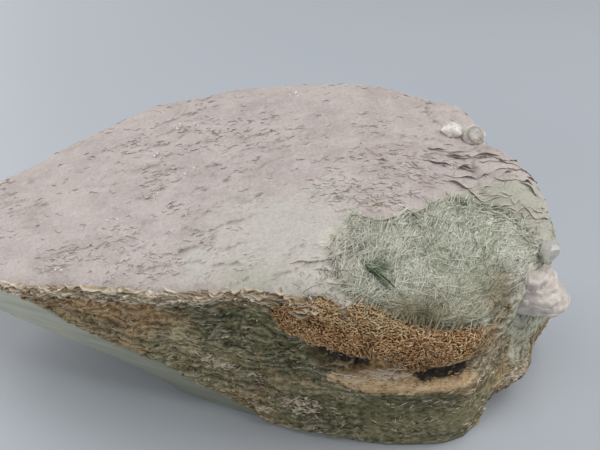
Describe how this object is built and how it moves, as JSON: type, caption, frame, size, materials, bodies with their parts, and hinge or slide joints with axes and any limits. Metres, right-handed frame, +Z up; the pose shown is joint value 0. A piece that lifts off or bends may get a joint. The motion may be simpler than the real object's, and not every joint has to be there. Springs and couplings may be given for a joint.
{
  "type": "actinolite specimen",
  "caption": "Hand-sized broken block of pale foliated schist with an exposed felt of green actinolite needles, dark blades and a weathered rusty front, resting on a flat sawn base.",
  "frame": {"origin": "middle of the specimen's footprint box, on the flat base it rests on", "axes": "+Z up, +X along the block towards its thick right end with the pale tip, -Y towards the weathered front"},
  "size_m": [0.2056, 0.124, 0.0736],
  "materials": {
    "schist": "matt pale pinkish-grey foliated talc schist, brown and rusty where weathered",
    "actinolite_felt": "felted pale green needles, silky",
    "actinolite": "dark green blades, vitreous",
    "quartz": "pale cloudy plates and grains, vitreous to pearly"
  },
  "bodies": {
    "root": {"schist_block": "schist", "actinolite_needle_mass": "actinolite_felt", "actinolite_blades": "actinolite", "quartz_tip": "quartz", "quartz_grain_white": "quartz", "quartz_grain_grey": "quartz"}
  },
  "joints": []
}
